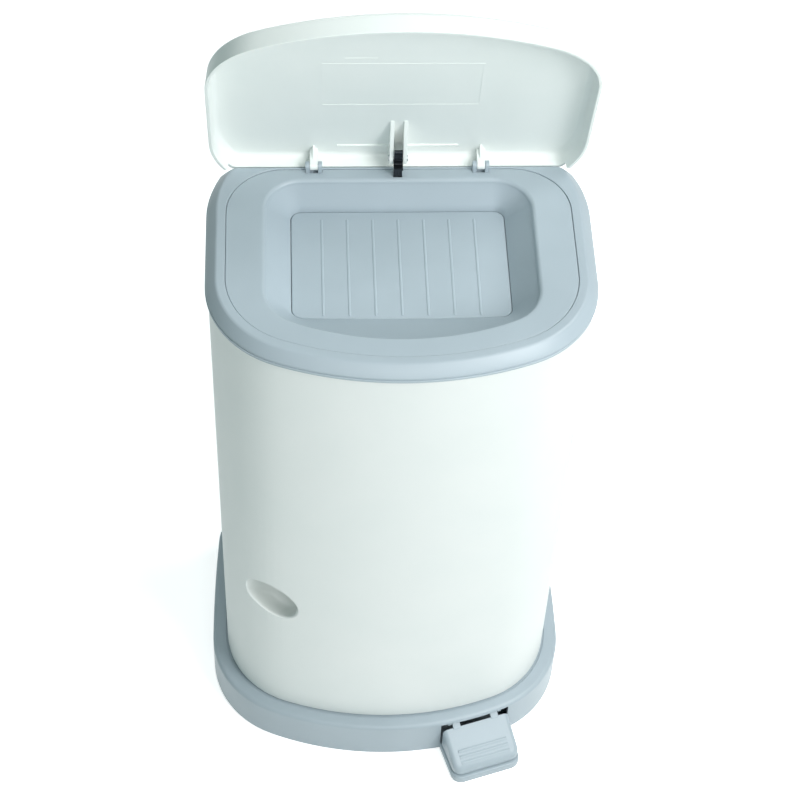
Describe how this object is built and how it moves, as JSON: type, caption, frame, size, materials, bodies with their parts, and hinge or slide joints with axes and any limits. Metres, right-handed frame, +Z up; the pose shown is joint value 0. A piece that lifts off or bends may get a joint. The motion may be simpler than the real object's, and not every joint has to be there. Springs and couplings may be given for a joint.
{
  "type": "nappy bin",
  "caption": "Free-standing D-shaped nappy bin: foot pedal, hinged lid, funnel deck with a sprung trap flap, and a front that swings open.",
  "frame": {"origin": "middle of the overall footprint, on the floor", "axes": "+X right and -Y front as seen by the user, +Z up"},
  "size_m": [0.3168, 0.2644, 0.7348],
  "materials": {
    "grey_plastic": "fine satin, cool grey",
    "white_plastic": "glossy, cool white",
    "lid_plastic": "glossy, cool white",
    "dark_plastic": "matt",
    "steel": "zinc-plated",
    "dark_steel": "blackened",
    "pad_rubber": "matt"
  },
  "bodies": {
    "base": {"base_plinth": "grey_plastic", "bottom_plate": "grey_plastic", "pad_1": "pad_rubber", "pad_2": "pad_rubber", "pad_3": "pad_rubber", "pad_4": "pad_rubber", "rear_frame": "white_plastic", "top_collar": "grey_plastic", "deck_funnel": "grey_plastic", "liner_magazine": "white_plastic", "cutter_housing": "dark_plastic", "cutter_blade": "steel", "rod_guide_low": "dark_plastic", "rod_guide_high": "dark_plastic", "rod_cover": "white_plastic", "door_pin_low": "steel", "door_pin_high": "steel", "door_catch": "dark_plastic", "pedal_pin": "steel", "lever_pin": "steel", "flap_pin": "steel", "lid_pin_left": "steel", "lid_pin_right": "steel", "frame_screw_1": "steel", "frame_screw_2": "steel", "frame_screw_3": "steel", "frame_screw_4": "steel", "collar_screw_1": "steel", "collar_screw_2": "steel", "collar_screw_3": "steel", "collar_screw_4": "steel", "plate_screw_1": "steel", "plate_screw_2": "steel", "plate_screw_3": "steel", "plate_screw_4": "steel", "magazine_screw_1": "steel", "magazine_screw_2": "steel", "magazine_screw_3": "steel", "magazine_screw_4": "steel"},
    "door": {"front_door": "white_plastic"},
    "lid": {"lid_shell": "lid_plastic", "lid_cross_pin": "steel"},
    "flap": {"trap_flap": "grey_plastic", "flap_spring": "steel"},
    "tread": {"pedal_tread": "grey_plastic"},
    "lever": {"pedal_lever": "steel"},
    "rod": {"push_rod": "dark_steel"}
  },
  "joints": [
    {"name": "lid_hinge", "type": "hinge", "parent": "base", "child": "lid", "pos_m": [0, 0.114, 0.5427], "axis": [1, 0, 0], "range_deg": [0, 74.5]},
    {"name": "rod_slide", "type": "slide", "parent": "base", "child": "rod", "axis": [0, 0, -1], "range_m": [0, 0.0112]},
    {"name": "lever_hinge", "type": "hinge", "parent": "base", "child": "lever", "pos_m": [0.04021, 0.00416, 0.0186], "axis": [-0.9314, -0.3641, 0], "range_deg": [0, 5.9]},
    {"name": "tread_hinge", "type": "hinge", "parent": "base", "child": "tread", "pos_m": [0.0774, -0.0842, 0.0365], "axis": [-0.9575, -0.2883, 0], "range_deg": [0, 21.6]},
    {"name": "flap_hinge", "type": "hinge", "parent": "base", "child": "flap", "pos_m": [0, 0.0875, 0.5077], "axis": [1, 0, 0], "range_deg": [0, 78], "stiffness_Nm_per_rad": 0.05, "springref_deg": -57.3, "deforming": ["flap_spring"]},
    {"name": "door_hinge", "type": "hinge", "parent": "base", "child": "door", "pos_m": [0.1405, 0.066, 0.045], "axis": [0, 0, 1], "range_deg": [0, 90]}
  ],
  "couplings": [
    {"joint": "rod_slide", "follows": "lid_hinge", "m_per_rad": 0.0085367},
    {"joint": "lever_hinge", "follows": "lid_hinge", "ratio": 0.077852},
    {"joint": "tread_hinge", "follows": "lid_hinge", "ratio": 0.28859}
  ]
}
